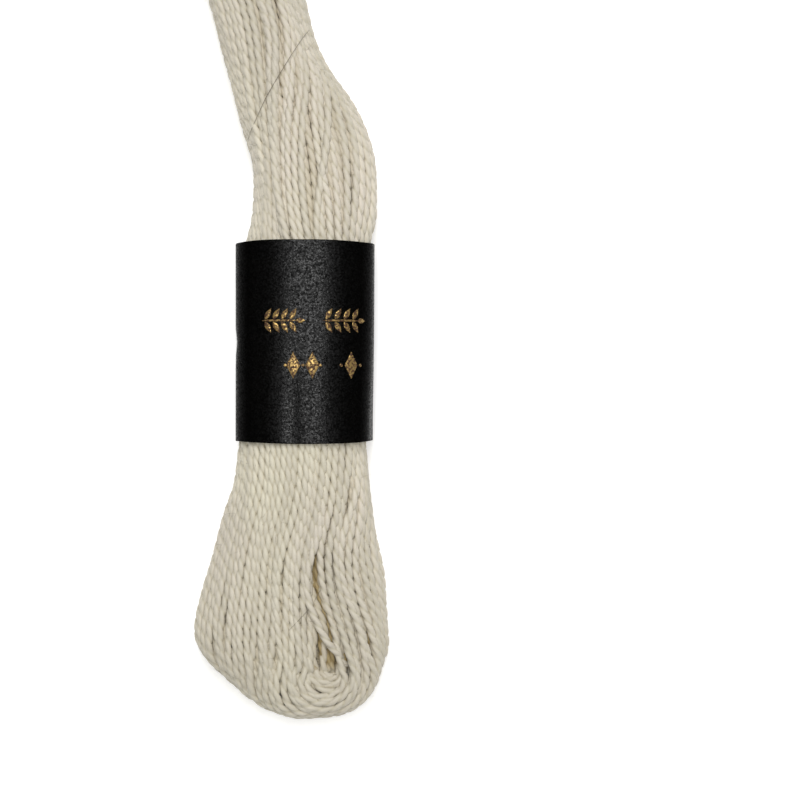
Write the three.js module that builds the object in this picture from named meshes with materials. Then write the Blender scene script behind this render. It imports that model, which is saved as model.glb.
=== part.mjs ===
// A hank of two-ply pearl cotton, lying flat in a paper sleeve.
// Millimetres, +Z up. The origin is the middle of the sleeve's flat underside, +Y runs along the hank
// towards its far end, and the loop end with the open eye is at -Y.
import * as THREE from "three";

// Driving dimensions of the sleeve
const BAND_LENGTH = 16.2;
const BAND_WIDTH = 11.16;
const BAND_HEIGHT = 8.2;
const BAND_WALL = 0.35;
const BAND_ROUNDNESS = 2.7;
const BAND_STEPS_ROUND = 64;
const BAND_STEPS_ALONG = 4;

// How much of the rounded underside is pressed flat, on the sleeve and on the hank
const FLAT_DEPTH = 0.12;

// Driving dimensions of the hank
const HANK_ROUNDNESS = 2.35;
const NEAR_END = -30.12;
const FAR_END = 69.9;
const STEPS_ROUND = 64;
const OUTLINE_SAMPLES = 512;
const FINE_STEP = 0.55;
const FINE_STRETCH_END = -13;
const COARSE_STEP = 1.9;

// Last small step at each end, where the sections shrink to a point
const CAP_DEPTH = 0.12;
const CAP_SHARES = [0.8, 0.45];

// Bundles of turns that show as soft ridges along the hank
const BUNDLES = 16;
const BUNDLE_GROOVE = 0.24;
const BUNDLE_GROOVE_IN_BAND = 0.05;
const BUNDLE_DRIFT = 0.011;
const BAND_EASING = 4;

// Places where the turns run round as rings: on top the foot of the open eye, and on the underside
// the foot of the slit where the turns that fold under the left corner come back.
const RING_PITCH = 1.75;
const RING_EASING = 2;
const RING_FACING = { from: 0.2, to: 0.6 };
const SLIT_FACING = { from: 0, to: 0.5 };
const RING_FEET = [
  { x: 1.9, y: -24.8, facing: 1, reach: 4.4 },
  { x: -5.6, y: -22.6, facing: -1, reach: 11 },
];

// Outline and thickness of the hank, a row for each section across it. left and right are its sides
// seen from above, top and bottom the heights that it reaches.
const SECTIONS = [
  { y: NEAR_END, left: -1.2, right: 2.1, top: 2.9, bottom: 1.7 },
  { y: -29.98, left: -1.9, right: 2.8, top: 3.5, bottom: 1.0 },
  { y: -29.76, left: -2.64, right: 3.52, top: 4.0, bottom: 0.5 },
  { y: -29.12, left: -3.68, right: 4.4, top: 4.6, bottom: 0.1 },
  { y: -28.48, left: -4.72, right: 5.12, top: 4.9, bottom: 0 },
  { y: -27.2, left: -6.08, right: 5.84, top: 5.15, bottom: 0 },
  { y: -25.92, left: -7.36, right: 6.24, top: 5.3, bottom: 0 },
  { y: -24.64, left: -8.4, right: 6.64, top: 5.4, bottom: 0 },
  { y: -23.36, left: -8.88, right: 6.64, top: 5.5, bottom: 0 },
  { y: -21.44, left: -8.64, right: 6.48, top: 5.6, bottom: 0 },
  { y: -18.88, left: -7.84, right: 6.24, top: 5.9, bottom: 0 },
  { y: -16.32, left: -7.2, right: 5.76, top: 6.3, bottom: 0.05 },
  { y: -13.76, left: -6.64, right: 5.44, top: 6.8, bottom: 0.2 },
  { y: -11.2, left: -5.68, right: 5.12, top: 7.25, bottom: 0.4 },
  { y: -8.9, left: -5.3, right: 5.04, top: 7.55, bottom: 0.6 },
  { y: -8.1, left: -4.93, right: 4.93, top: 7.55, bottom: 0.65 },
  { y: 8.1, left: -4.93, right: 4.93, top: 7.55, bottom: 0.65 },
  { y: 10.08, left: -4.24, right: 5.6, top: 7.5, bottom: 0.5 },
  { y: 13.92, left: -4.24, right: 5.6, top: 7.4, bottom: 0.3 },
  { y: 17.76, left: -5.28, right: 4.56, top: 7.3, bottom: 0.1 },
  { y: 21.6, left: -6.24, right: 2.08, top: 7.3, bottom: 0 },
  { y: 25.44, left: -7.2, right: 0.48, top: 7.3, bottom: 0 },
  { y: 34, left: -9.2, right: -1.2, top: 6.9, bottom: 0 },
  { y: 42, left: -10.8, right: -2.0, top: 6.2, bottom: 0 },
  { y: 50, left: -12.3, right: -1.7, top: 5.6, bottom: 0 },
  { y: 57, left: -13.3, right: -0.9, top: 5.3, bottom: 0 },
  { y: 61.5, left: -13.5, right: -0.5, top: 5.1, bottom: 0 },
  { y: 65, left: -12.8, right: -0.8, top: 5.0, bottom: 0 },
  { y: 67.5, left: -11.5, right: -1.9, top: 4.7, bottom: 0 },
  { y: 69, left: -9.9, right: -3.2, top: 4.2, bottom: 0.3 },
  { y: 69.6, left: -8.8, right: -4.2, top: 3.7, bottom: 0.8 },
  { y: FAR_END, left: -7.8, right: -5.2, top: 3.0, bottom: 1.5 },
];

// The slit between the two legs of each loop, a row for each section across it. The near one opens to
// a pocket at its lower end.
const EYES = {
  near: [
    { y: -27.3, x: 2.1, halfWidth: 0.3, depth: 0 },
    { y: -26.3, x: 2.0, halfWidth: 0.6, depth: 1.3 },
    { y: -24.8, x: 1.9, halfWidth: 0.75, depth: 2.2 },
    { y: -22.8, x: 1.5, halfWidth: 0.55, depth: 1.5 },
    { y: -19.6, x: 0.9, halfWidth: 0.5, depth: 1.3 },
    { y: -16.8, x: 0.75, halfWidth: 0.4, depth: 0.7 },
    { y: -14.6, x: 0.8, halfWidth: 0.3, depth: 0 },
  ],
  far: [
    { y: 55.0, x: -6.9, halfWidth: 0.3, depth: 0 },
    { y: 58.0, x: -6.8, halfWidth: 0.5, depth: 0.9 },
    { y: 62.0, x: -6.7, halfWidth: 0.65, depth: 1.6 },
    { y: 65.0, x: -6.6, halfWidth: 0.5, depth: 0.9 },
    { y: 66.4, x: -6.6, halfWidth: 0.3, depth: 0 },
  ],
};

const COTTON_FINISH = { color: 0xcbc4b1, roughness: 0.85, metalness: 0 };
const BAND_FINISH = { color: 0x171615, roughness: 0.45, metalness: 0 };

const { lerp, smoothstep } = THREE.MathUtils;

// Value of a named column at y, on a smooth curve through the rows that doesn't swing past them.
function between(rows, column, y) {
  const last = rows.length - 1;
  if (y <= rows[0].y) return rows[0][column];
  if (y >= rows[last].y) return rows[last][column];
  const next = rows.findIndex((row) => row.y > y);
  const slope = (i) => (rows[i + 1][column] - rows[i][column]) / (rows[i + 1].y - rows[i].y);
  const tangent = (i) => {
    if (i === 0) return slope(0);
    if (i === last) return slope(last - 1);
    const product = slope(i - 1) * slope(i);
    return product <= 0 ? 0 : (2 * product) / (slope(i - 1) + slope(i));
  };
  const low = rows[next - 1];
  const high = rows[next];
  const step = high.y - low.y;
  const t = (y - low.y) / step;
  const rise = t * t * (3 - 2 * t);
  const start = t * (1 - t) * (1 - t) * step * tangent(next - 1);
  const end = t * t * (t - 1) * step * tangent(next);
  return low[column] + rise * (high[column] - low[column]) + start + end;
}

// Point at an angle on a rounded rectangle with the given half sizes, as x and z.
function roundedPoint(angle, halfWidth, halfHeight, roundness) {
  const c = Math.cos(angle);
  const s = Math.sin(angle);
  const power = 2 / roundness;
  return new THREE.Vector2(
    halfWidth * Math.sign(c) * Math.abs(c) ** power,
    halfHeight * Math.sign(s) * Math.abs(s) ** power,
  );
}

// Closed outline of a rounded rectangle, with its points evenly spaced along it from the middle of the
// underside.
function evenOutline(halfWidth, halfHeight, roundness, steps) {
  const dense = [];
  const lengths = [0];
  for (let i = 0; i <= OUTLINE_SAMPLES; i += 1) {
    const angle = 2 * Math.PI * (i / OUTLINE_SAMPLES - 0.25);
    dense.push(roundedPoint(angle, halfWidth, halfHeight, roundness));
    if (i > 0) lengths.push(lengths[i - 1] + dense[i].distanceTo(dense[i - 1]));
  }
  const outline = [];
  let at = 1;
  for (let i = 0; i < steps; i += 1) {
    const wanted = (lengths[OUTLINE_SAMPLES] * i) / steps;
    while (lengths[at] < wanted) at += 1;
    const share = (wanted - lengths[at - 1]) / (lengths[at] - lengths[at - 1]);
    outline.push(dense[at - 1].clone().lerp(dense[at], share));
  }
  return outline;
}

// Depth of a groove at a phase, as a share: 0 on the crest of a bundle and 1 in the groove beside it.
function grooveShare(phase) {
  return 0.5 - 0.5 * Math.cos(2 * Math.PI * phase);
}

// Depth of the groove between two bundles, as a share. Bundles follow the hank along its legs, and run
// round the feet of the two slits as rings.
function bundleGroove(x, y, facing, turn) {
  let groove = grooveShare(turn * BUNDLES + y * BUNDLE_DRIFT);
  for (const foot of RING_FEET) {
    const distance = Math.hypot(x - foot.x, y - foot.y);
    const beyond = smoothstep(foot.y - y, 0, RING_EASING);
    const near = 1 - smoothstep(distance, foot.reach - RING_EASING, foot.reach);
    const seen = smoothstep(facing * foot.facing, RING_FACING.from, RING_FACING.to);
    groove = lerp(groove, grooveShare(distance / RING_PITCH), beyond * near * seen);
  }
  return groove;
}

// Depth of the grooves at y, which the sleeve presses nearly smooth.
function grooveDepth(y) {
  const outside = smoothstep(Math.abs(y), BAND_LENGTH / 2, BAND_LENGTH / 2 + BAND_EASING);
  return lerp(BUNDLE_GROOVE_IN_BAND, BUNDLE_GROOVE, outside);
}

// Depth of the eyes' slits below the top, at a place seen from above.
function eyeDepth(x, y) {
  return Math.max(
    ...Object.values(EYES).map((rows) => {
      const away = (x - between(rows, "x", y)) / between(rows, "halfWidth", y);
      return between(rows, "depth", y) * Math.exp(-away * away);
    }),
  );
}

// One section across the hank at y, a closed ring of points.
function hankRing(y) {
  const left = between(SECTIONS, "left", y);
  const right = between(SECTIONS, "right", y);
  const top = between(SECTIONS, "top", y);
  const bottom = between(SECTIONS, "bottom", y);
  const halfWidth = (right - left) / 2;
  const halfHeight = (top - bottom + FLAT_DEPTH) / 2;
  const outline = evenOutline(halfWidth, halfHeight, HANK_ROUNDNESS, STEPS_ROUND);
  return outline.map((point, i) => {
    const outward = new THREE.Vector2(point.x / halfWidth ** 2, point.y / halfHeight ** 2).normalize();
    const x = left + halfWidth + point.x;
    const z = top - halfHeight + point.y;
    const groove = grooveDepth(y) * bundleGroove(x, y, outward.y, i / STEPS_ROUND);
    const slit = eyeDepth(x, y) * smoothstep(outward.y, SLIT_FACING.from, SLIT_FACING.to);
    return new THREE.Vector3(x - outward.x * groove, y, Math.max(z - outward.y * groove - slit, bottom));
  });
}

// Places of the sections along the hank: close together at the open loop end, wider apart along the legs.
function hankStations() {
  const stations = [];
  const fine = Math.ceil((FINE_STRETCH_END - NEAR_END) / FINE_STEP);
  const coarse = Math.ceil((FAR_END - FINE_STRETCH_END) / COARSE_STEP);
  for (let i = 0; i < fine; i += 1) stations.push(lerp(NEAR_END, FINE_STRETCH_END, i / fine));
  for (let i = 0; i <= coarse; i += 1) stations.push(lerp(FINE_STRETCH_END, FAR_END, i / coarse));
  return stations;
}

// Shrunk copies of the end section at y, stepping outwards to close the hank. outward is -1 or 1.
function capRings(y, outward) {
  const ring = hankRing(y);
  const middle = ringMiddle(ring);
  return CAP_SHARES.map((share) =>
    ring.map((p) => {
      const point = middle.clone().lerp(p, share);
      return point.setY(y + outward * CAP_DEPTH * (1 - share));
    }),
  );
}

// Middle of a ring of points.
function ringMiddle(ring) {
  return ring.reduce((sum, p) => sum.add(p), new THREE.Vector3()).divideScalar(ring.length);
}

// Closed surface through rings of equal length, with a fan of triangles over each end.
function loft(rings) {
  const around = rings[0].length;
  const points = rings.flat();
  const firstMiddle = points.push(ringMiddle(rings[0])) - 1;
  const lastMiddle = points.push(ringMiddle(rings[rings.length - 1])) - 1;
  const index = [];
  for (let r = 0; r < rings.length - 1; r += 1) {
    for (let i = 0; i < around; i += 1) {
      const a = r * around + i;
      const b = r * around + ((i + 1) % around);
      index.push(a, a + around, b, b, a + around, b + around);
    }
  }
  const lastRing = (rings.length - 1) * around;
  for (let i = 0; i < around; i += 1) {
    const next = (i + 1) % around;
    index.push(firstMiddle, i, next);
    index.push(lastMiddle, lastRing + next, lastRing + i);
  }
  const geometry = new THREE.BufferGeometry().setFromPoints(points);
  geometry.setIndex(index);
  geometry.computeVertexNormals();
  return geometry;
}

// The wound cotton: two legs laid together, with a loop at each end.
function makeHank() {
  const sections = hankStations().map(hankRing);
  const rings = [...capRings(NEAR_END, -1).reverse(), ...sections, ...capRings(FAR_END, 1)];
  const hank = new THREE.Mesh(loft(rings), new THREE.MeshStandardMaterial(COTTON_FINISH));
  hank.name = "hank";
  return hank;
}

// Outline of the sleeve with its underside cut flat, drawn in by the given amount.
function bandOutline(inset) {
  const halfWidth = BAND_WIDTH / 2 - inset;
  const halfHeight = BAND_HEIGHT / 2 + FLAT_DEPTH / 2 - inset;
  const middle = (BAND_HEIGHT - FLAT_DEPTH) / 2;
  return evenOutline(halfWidth, halfHeight, BAND_ROUNDNESS, BAND_STEPS_ROUND).map(
    (p) => new THREE.Vector2(p.x, Math.max(p.y + middle, inset)),
  );
}

// The paper sleeve: its outline with the inner outline as a hole, drawn out along the hank.
function makeBand() {
  const shape = new THREE.Shape(bandOutline(0));
  shape.holes.push(new THREE.Path(bandOutline(BAND_WALL)));
  const drawn = { depth: BAND_LENGTH, bevelEnabled: false, steps: BAND_STEPS_ALONG };
  const geometry = new THREE.ExtrudeGeometry(shape, drawn);
  const band = new THREE.Mesh(geometry, new THREE.MeshStandardMaterial(BAND_FINISH));
  band.name = "band";
  band.rotation.x = Math.PI / 2;
  band.position.y = BAND_LENGTH / 2;
  return band;
}

const part = new THREE.Group();
part.add(makeHank(), makeBand());

export default part;
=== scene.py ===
"""A hank of two-ply pearl cotton in a black paper sleeve, lying on a pale floor.

Lengths are in millimetres until a mesh is made, and angles in radians. X runs across the hank, Y along it
towards the far loop end, and Z up from the floor.
"""

import logging
import math
from dataclasses import dataclass, field, replace
from enum import Enum
from typing import Sequence

import bpy
import numpy as np
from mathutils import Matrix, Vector
from numpy.typing import NDArray


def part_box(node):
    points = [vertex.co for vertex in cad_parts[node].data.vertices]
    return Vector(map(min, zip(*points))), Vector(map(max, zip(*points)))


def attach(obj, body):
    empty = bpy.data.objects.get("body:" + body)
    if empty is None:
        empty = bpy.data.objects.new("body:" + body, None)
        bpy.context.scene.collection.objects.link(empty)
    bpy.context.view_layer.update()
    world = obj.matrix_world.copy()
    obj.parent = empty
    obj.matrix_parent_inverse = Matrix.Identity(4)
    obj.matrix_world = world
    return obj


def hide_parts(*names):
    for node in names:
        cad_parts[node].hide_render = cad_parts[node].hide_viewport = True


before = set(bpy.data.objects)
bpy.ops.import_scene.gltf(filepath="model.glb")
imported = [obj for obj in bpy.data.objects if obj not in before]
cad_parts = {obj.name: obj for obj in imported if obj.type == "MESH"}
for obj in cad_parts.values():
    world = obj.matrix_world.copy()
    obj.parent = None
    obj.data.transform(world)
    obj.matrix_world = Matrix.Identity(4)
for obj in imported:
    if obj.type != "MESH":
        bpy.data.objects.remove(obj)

Floats = NDArray[np.float64]
Ints = NDArray[np.int64]
Numbers = tuple[float, ...]
Pair = tuple[float, float]
Place = tuple[float, float, float]
Colour = tuple[float, float, float]
Stops = tuple[Pair, ...]
Socket = bpy.types.NodeSocket
Value = float | Colour | Socket

MM = 0.001
FULL_TURN = 2 * math.pi
TINY = 1e-9
WHOLE_RING = 20  # a section across a solid has more points than this, and the tip of an end has fewer
BODY = "root"
log = logging.getLogger("hank")


# Curves and sampling


def eased(t: Floats | float) -> Floats:
    """Smooth step: 3t² - 2t³ for t held between 0 and 1."""
    held = np.clip(t, 0.0, 1.0)
    return held * held * (3.0 - 2.0 * held)


def mixed(a: Floats | float, b: Floats | float, share: Floats | float) -> Floats:
    """The value a share of the way from a to b."""
    return a + (b - a) * share


def unit(vectors: Floats) -> Floats:
    """Vectors scaled to length 1 along the last axis."""
    return vectors / np.maximum(np.linalg.norm(vectors, axis=-1, keepdims=True), TINY)


def squared(swing: Floats, roundness: float) -> Floats:
    """A cosine or sine s turned into a rounded rectangle's: sign(s)·|s|^(2/n), for a roundness n."""
    return np.sign(swing) * np.abs(swing) ** (2 / roundness)


def run_length(points: Floats) -> Floats:
    """Length from the first point to each point, along the second last axis."""
    steps = np.linalg.norm(np.diff(points, axis=-2), axis=-1)
    start = np.zeros(steps.shape[:-1] + (1,))
    return np.concatenate([start, np.cumsum(steps, axis=-1)], axis=-1)


def softened(closed: Floats, passes: int) -> Floats:
    """Closed paths smoothed along axis 1: each pass puts a point halfway to the middle of its neighbours."""
    for _ in range(passes):
        around = (np.roll(closed, 1, axis=1) + np.roll(closed, -1, axis=1)) / 2
        closed = (closed + around) / 2
    return closed


def read_off(at: Floats, marks: Floats, points: Floats) -> Floats:
    """Points of a line at the given places, where marks are the places of its own points."""
    return np.stack([np.interp(at, marks, column) for column in points.T], axis=1)


def resampled(paths: Floats, lengths: Floats, at: Floats) -> Floats:
    """Values along paths again, at shares from 0 to 1 of each path's length."""
    return np.stack([read_off(at * length[-1], length, path) for path, length in zip(paths, lengths)])


def closed_slope(closed: Floats) -> Floats:
    """Direction of travel at each point of closed paths, from the points before and after it on axis 1."""
    return unit(np.roll(closed, -1, axis=1) - np.roll(closed, 1, axis=1))


@dataclass(frozen=True)
class Wander:
    """Smooth noise along closed paths: a sum of sines that shrink as their number of waves grows.

    Attributes:
        fewest: fewest waves along a path.
        most: most waves along a path.
        fade: power by which a sine shrinks with its number of waves.
        size: spread of the noise.
        variety: spread of the sines' sizes round what the power gives.
    """

    fewest: int
    most: int
    fade: float
    size: float
    variety: float = 0.3

    def drawn(self, rng: np.random.Generator, rows: int, steps: int) -> Floats:
        """Draws the noise, as the sum of a·sin(nt + b) over the numbers of waves n.

        Args:
            rng: source of the random sizes and phases.
            rows: number of paths.
            steps: points on each path.

        Returns:
            An array of rows by steps.
        """
        counts = np.arange(self.fewest, self.most + 1)
        sizes = (counts / self.fewest) ** -self.fade * rng.normal(1.0, self.variety, (rows, counts.size))
        phases = rng.uniform(0, FULL_TURN, (rows, counts.size))
        along = np.linspace(0, FULL_TURN, steps, endpoint=False)
        sines = np.sin(counts[None, :, None] * along + phases[:, :, None])
        summed = (sizes[:, :, None] * sines).sum(axis=1)
        return summed / max(float(summed.std()), TINY) * self.size


@dataclass(frozen=True)
class Profile:
    """A value that changes along the hank, given at some places y and straight between them."""

    y: Numbers
    value: Numbers

    def at(self, y: Floats) -> Floats:
        """The value at y."""
        return np.interp(y, self.y, self.value)


# Meshes


def linked(name: str, data: bpy.types.ID) -> bpy.types.Object:
    """A new object with its data, linked to the scene."""
    made = bpy.data.objects.new(name, data)
    bpy.context.scene.collection.objects.link(made)
    return made


@dataclass
class Surface:
    """Points and four-sided faces of a piece, with what its material reads.

    Attributes:
        points: places, in millimetres.
        quads: corner numbers of each face, anticlockwise seen from outside.
        uv: for each face corner, the share of the way round and the length along.
        values: for each name, a number from 0 to 1 at each point.
    """

    points: Floats
    quads: Ints
    uv: Floats | None = None
    values: dict[str, Floats] = field(default_factory=dict)

    @classmethod
    def joined(cls, surfaces: Sequence["Surface"]) -> "Surface":
        """Several surfaces without a map as one, with their faces renumbered."""
        first = np.cumsum([0] + [len(surface.points) for surface in surfaces])
        quads = np.concatenate([surface.quads + start for surface, start in zip(surfaces, first)])
        return cls(np.concatenate([surface.points for surface in surfaces]), quads)

    def build(self, name: str) -> bpy.types.Object:
        """Puts the surface into a smooth-shaded mesh object at the origin.

        Args:
            name: name of the object and its mesh.

        Returns:
            The object, linked to the scene.
        """
        mesh = bpy.data.meshes.new(name)
        count = len(self.quads)
        mesh.vertices.add(len(self.points))
        mesh.vertices.foreach_set("co", (self.points * MM).astype(np.float32).ravel())
        mesh.loops.add(4 * count)
        mesh.loops.foreach_set("vertex_index", self.quads.astype(np.int32).ravel())
        mesh.polygons.add(count)
        mesh.polygons.foreach_set("loop_start", np.arange(0, 4 * count, 4, dtype=np.int32))
        mesh.update(calc_edges=True)
        mesh.shade_smooth()
        if self.uv is not None:
            mesh.uv_layers.new(name="UVMap")
            mesh.uv_layers["UVMap"].data.foreach_set("uv", self.uv.astype(np.float32).ravel())
        for title, numbers in self.values.items():
            layer = mesh.attributes.new(title, "FLOAT", "POINT")
            layer.data.foreach_set("value", numbers.astype(np.float32))
        return linked(name, mesh)


def grid_quads(rows: int, columns: int, loop_rows: bool) -> Ints:
    """Faces of a grid of points numbered row by row, whose rows close on themselves.

    Args:
        rows: number of rows.
        columns: points in a row.
        loop_rows: whether the last row joins the first.

    Returns:
        Four corner numbers for each face.
    """
    r, c = np.meshgrid(np.arange(rows if loop_rows else rows - 1), np.arange(columns), indexing="ij")
    r_next, c_next = (r + 1) % rows, (c + 1) % columns
    corners = [r * columns + c, r * columns + c_next, r_next * columns + c_next, r_next * columns + c]
    return np.stack(corners, axis=-1).reshape(-1, 4)


def cap_quads(first: int, sides: int, forward: bool) -> Ints:
    """Faces that close one end of a tube with an even number of sides.

    Args:
        first: number of the end ring's first point.
        sides: points in the ring.
        forward: whether the end is the last one, so that its faces keep the ring's order.

    Returns:
        Four corner numbers for each face.
    """
    i = np.arange(sides // 2 - 1)
    quads = first + np.stack([i, i + 1, sides - 2 - i, sides - 1 - i], axis=1)
    return quads if forward else quads[:, ::-1]


def tube(rings: Floats) -> Surface:
    """A closed surface through rings of points, rings by sides by 3, with a cap at both ends."""
    count, sides, _ = rings.shape
    caps = [cap_quads(0, sides, False), cap_quads((count - 1) * sides, sides, True)]
    return Surface(rings.reshape(-1, 3), np.concatenate([grid_quads(count, sides, False), *caps]))


# The form of the hank, measured from the frame


@dataclass(frozen=True)
class Envelope:
    """Outer form of the hank: for each section across it, its two sides and its highest and lowest point."""

    y: Floats
    left: Floats
    right: Floats
    top: Floats
    bottom: Floats
    roundness: float = 2.35

    @classmethod
    def of_node(cls, node: str, inset: float) -> "Envelope":
        """Reads the sections from a solid whose points lie in rings across it.

        Args:
            node: name of the solid in the frame.
            inset: how far the form is drawn in on all sides.

        Returns:
            The envelope, with a row for each ring.
        """
        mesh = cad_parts[node].data
        co = np.zeros(len(mesh.vertices) * 3, np.float32)
        mesh.vertices.foreach_get("co", co)
        points = co.reshape(-1, 3).astype(float) / MM
        ring = np.round(points[:, 1], 2)
        order = np.argsort(ring, kind="stable")
        places, first, count = np.unique(ring[order], return_index=True, return_counts=True)
        low, high = (side.reduceat(points[order], first) for side in (np.minimum, np.maximum))
        full = count > WHOLE_RING
        low, high, places = low[full] + inset, high[full] - inset, places[full]
        return cls(places, low[:, 0], high[:, 0], high[:, 2], low[:, 2])

    def eased_out(self, y: Numbers, left: Numbers, right: Numbers) -> "Envelope":
        """The same form with its sides moved across, by the given amounts at each y."""
        moved_left, moved_right = (np.interp(self.y, y, amounts) for amounts in (left, right))
        return replace(self, left=self.left + moved_left, right=self.right + moved_right)

    def side(self, y: Floats, sign: float) -> Floats:
        """X of the left side (sign -1) or the right side (sign 1) at y."""
        return np.interp(y, self.y, self.left if sign < 0 else self.right)

    def levels(self, y: Floats) -> tuple[Floats, Floats]:
        """Z of the highest and the lowest point at y."""
        return np.interp(y, self.y, self.top), np.interp(y, self.y, self.bottom)

    def off_middle(self, x: Floats, y: Floats) -> Floats:
        """How far out a place lies, from 0 in the middle to 1 at either side."""
        left, right = self.side(y, -1.0), self.side(y, 1.0)
        return np.clip(np.abs(2 * x - left - right) / (right - left), 0.0, 1.0)

    def height(self, x: Floats, y: Floats, face: float) -> Floats:
        """Z of the upper (face 1) or lower face (face -1) over a place.

        The section is a rounded rectangle: |x|ⁿ + |z|ⁿ = 1 in half widths and half heights from its
        middle.
        """
        top, bottom = self.levels(y)
        dome = (1 - self.off_middle(x, y) ** self.roundness) ** (1 / self.roundness)
        return (top + bottom) / 2 + face * (top - bottom) / 2 * dome

    def outline_between(self, start_y: float, end_y: float, tip_y: float, steps: int) -> Floats:
        """Outline seen from above, from the left side at start_y round the tip to the right side at end_y.

        Args:
            start_y: where it leaves the left side.
            end_y: where it meets the right side.
            tip_y: y of the end of the hank.
            steps: number of points, evenly spaced along it.

        Returns:
            The points, as x and y.
        """
        dense = 200
        down, up = np.linspace(start_y, tip_y, dense), np.linspace(tip_y, end_y, dense)
        left = np.stack([self.side(down, -1.0), down], axis=1)
        right = np.stack([self.side(up, 1.0), up], axis=1)
        outline = np.concatenate([left, right])
        length = run_length(outline)
        return read_off(np.linspace(0, length[-1], steps), length, outline)


@dataclass(frozen=True)
class Slit:
    """Line along which the two legs of the loop part, on one face of the hank.

    Attributes:
        y: places along the hank.
        x: the line's place across it.
        gap: half the width of the opening there.
    """

    y: Numbers
    x: Numbers
    gap: Numbers

    def place(self, y: Floats | float) -> Floats:
        """X of the line at y."""
        return np.interp(y, self.y, self.x)

    def opening(self, y: Floats) -> Floats:
        """Half width of the opening at y."""
        return np.interp(y, self.y, self.gap)


@dataclass(frozen=True)
class LoopEnd:
    """Where the turns swing round at one end of the hank.

    Attributes:
        tip: y of the end.
        top_foot: y of the foot of the slit on the upper face.
        under_foot: y of the foot of the slit on the underside.
        left_shoulder: y where the left side starts to turn.
        right_shoulder: y where the right side starts to turn.
        foot_gap: how far the turns keep from the upper slit's foot at its left, beyond it and at its right.
        beyond: share of the way round the end at which they pass beyond the foot.
    """

    tip: float
    top_foot: float
    under_foot: float
    left_shoulder: float
    right_shoulder: float
    foot_gap: tuple[float, float, float]
    beyond: float = 0.6

    def shoulder(self, sign: float) -> float:
        """Y where the left side (sign -1) or the right side (sign 1) starts to turn."""
        return self.left_shoulder if sign < 0 else self.right_shoulder

    def opening(self, steps: int) -> Floats:
        """Gap at the upper slit's foot for stations from the left shoulder to the right one."""
        return np.interp(np.linspace(0, 1, steps), (0.0, self.beyond, 1.0), self.foot_gap)


# The turns


@dataclass(frozen=True)
class Meridians:
    """Lines over the hank's surface from the upper slit, round an edge, to the lower slit.

    Attributes:
        points: stations by samples by 3.
        reached: length from the upper slit to each sample.
        edge: number of the sample on the edge.
        top_gap: half width of the upper slit at each station.
        under_gap: half width of the lower slit at each station.
        squeeze: share from 0 to 1 by which the upper pitch is set by the loop's right leg.
        spread: at each station, how much further apart straight strands cross the meridian than round ones.
    """

    points: Floats
    reached: Floats
    edge: int
    top_gap: Floats
    under_gap: Floats
    squeeze: Floats
    spread: Floats

    def at(self, distance: Floats) -> Floats:
        """Points at the given distances from the upper slit, strands by stations by 3."""
        station = np.arange(distance.shape[1])[None, :]
        below = (self.reached[None] <= distance[:, :, None]).sum(axis=2)
        below = np.clip(below - 1, 0, self.reached.shape[1] - 2)
        start, end = self.reached[station, below], self.reached[station, below + 1]
        share = ((distance - start) / np.maximum(end - start, TINY))[..., None]
        return mixed(self.points[station, below], self.points[station, below + 1], share)


@dataclass(frozen=True)
class Layer:
    """One layer of turns, counted from the outside.

    Attributes:
        turns: turns in the layer.
        depth: how far its strands lie under the outermost ones.
        step: length of a mesh step along a strand.
        sides: points round a strand.
        pieces: pieces that the layer's turns are shared among.
        openness: share of the upper slit's width that the layer leaves open.
        leaps: how many times a strand passes over its neighbours and back.
        slit_drop: how much deeper the strands at an open slit lie.
        drop_reach: how many ranks from the slit the strands lie deeper.
        depth_shade: share from 0 to 1 of the painted shade, a darker brown that stands for the shade inside
            the hank.
    """

    turns: int
    depth: float
    step: float
    sides: int
    pieces: int
    openness: float = 0.0
    leaps: int = 0
    slit_drop: float = 0.3
    drop_reach: float = 1.6
    depth_shade: float = 1.0


@dataclass(frozen=True)
class Leaps:
    """Strands that pass over some neighbours and come back later, with lengths as shares of a turn.

    Attributes:
        start: where the stretch that they keep to starts.
        stretch: length of that stretch.
        apart: shortest and longest length that a strand stays in its new place.
        ramp: length in which it passes over one neighbour.
        rise: how far it rises as it passes over them.
        dip: how far they sink under it.
    """

    start: float = 0.53
    stretch: float = 0.84
    apart: Pair = (0.08, 0.35)
    ramp: float = 0.022
    rise: float = 0.24
    dip: float = 0.16

    def drawn(self, layer: Layer, stations: int, rng: np.random.Generator) -> tuple[Floats, Floats]:
        """Changes of rank and of height along the strands of a layer.

        Args:
            layer: the layer, with its number of leaps.
            stations: stations on a turn.
            rng: source of the places.

        Returns:
            Two arrays, turns by stations.
        """
        moved, raised = np.zeros((2, layer.turns, stations))
        place = np.arange(stations) / stations
        for _ in range(layer.leaps):
            over = int(rng.integers(1, 4))
            strand = int(rng.integers(1, layer.turns - over - 1))
            length, ramp = rng.uniform(*self.apart), self.ramp * over
            start = self.start + rng.uniform(0, self.stretch - length - 3 * ramp)
            since = (place - start) % 1.0
            share = eased(since / ramp) * eased((length + 2 * ramp - since) / ramp)
            crossing = 4 * share * (1 - share)
            moved[strand] += over * share
            raised[strand] += self.rise * crossing
            moved[strand + 1 : strand + 1 + over] -= share
            raised[strand + 1 : strand + 1 + over] -= self.dip * crossing
        return moved, raised


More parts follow.
